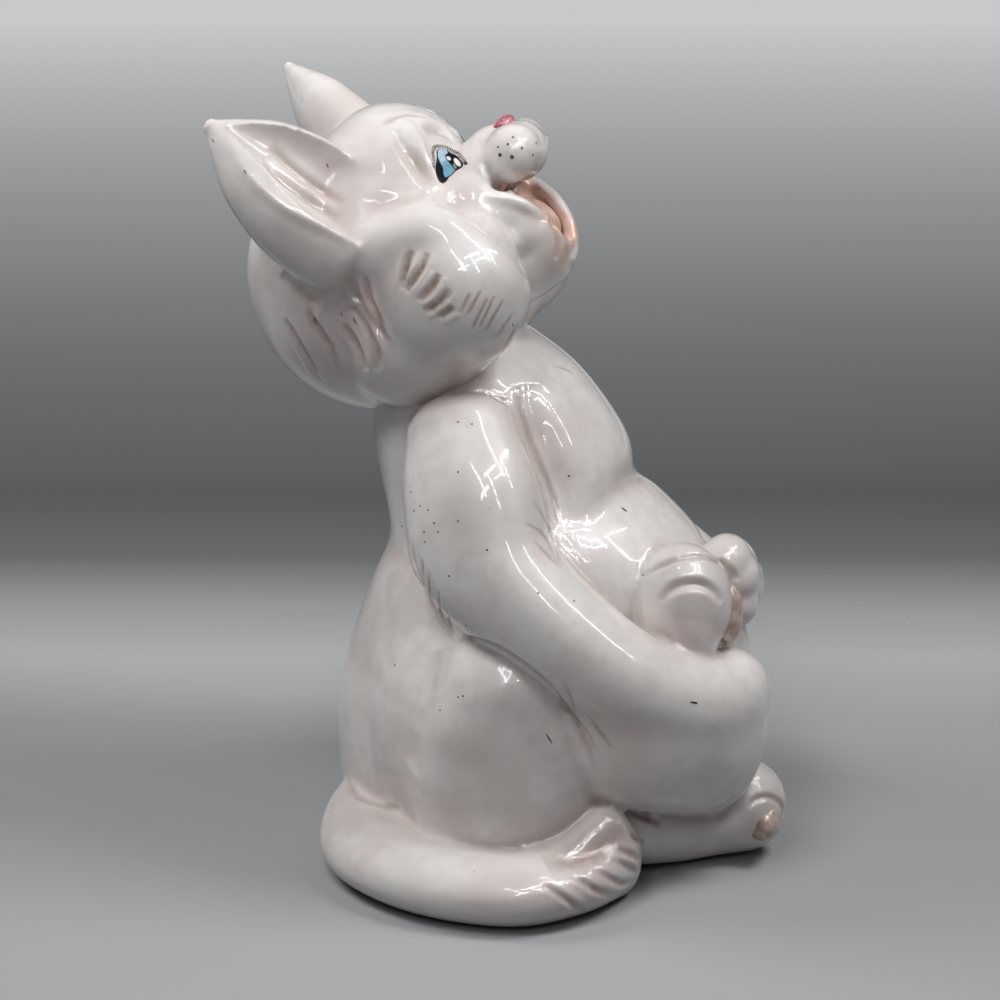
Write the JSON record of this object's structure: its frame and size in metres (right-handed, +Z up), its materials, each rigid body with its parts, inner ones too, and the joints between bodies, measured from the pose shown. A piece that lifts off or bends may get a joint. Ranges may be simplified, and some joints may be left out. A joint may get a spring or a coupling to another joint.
{
  "type": "ceramic cat figurine",
  "caption": "Seated glazed pottery cat, head thrown back with open mouth, one hind foot raised to the belly, tail lying round the side; hollow and open underneath.",
  "frame": {"origin": "middle of the figure's footprint box, on the surface it stands on", "axes": "+Z up, +X the way the cat's chest faces, +Y the cat's left"},
  "size_m": [0.1918, 0.1692, 0.255],
  "materials": {
    "glaze": "high gloss white glaze, thin and brownish in the creases",
    "pink": "pink underglaze colour under clear gloss",
    "red": "red underglaze colour under clear gloss"
  },
  "bodies": {
    "root": {"torso": "glaze", "skull": "glaze", "right_cheek": "glaze", "left_cheek": "glaze", "lower_jaw": "glaze", "muzzle": "glaze", "nose": "red", "tongue": "pink", "right_ear": "glaze", "left_ear": "glaze", "right_thigh": "glaze", "left_thigh": "glaze", "right_arm": "glaze", "left_arm": "glaze", "right_leg": "glaze", "left_leg": "glaze", "right_sole_pad": "pink", "left_sole_pad": "pink", "tail": "glaze"}
  },
  "joints": []
}
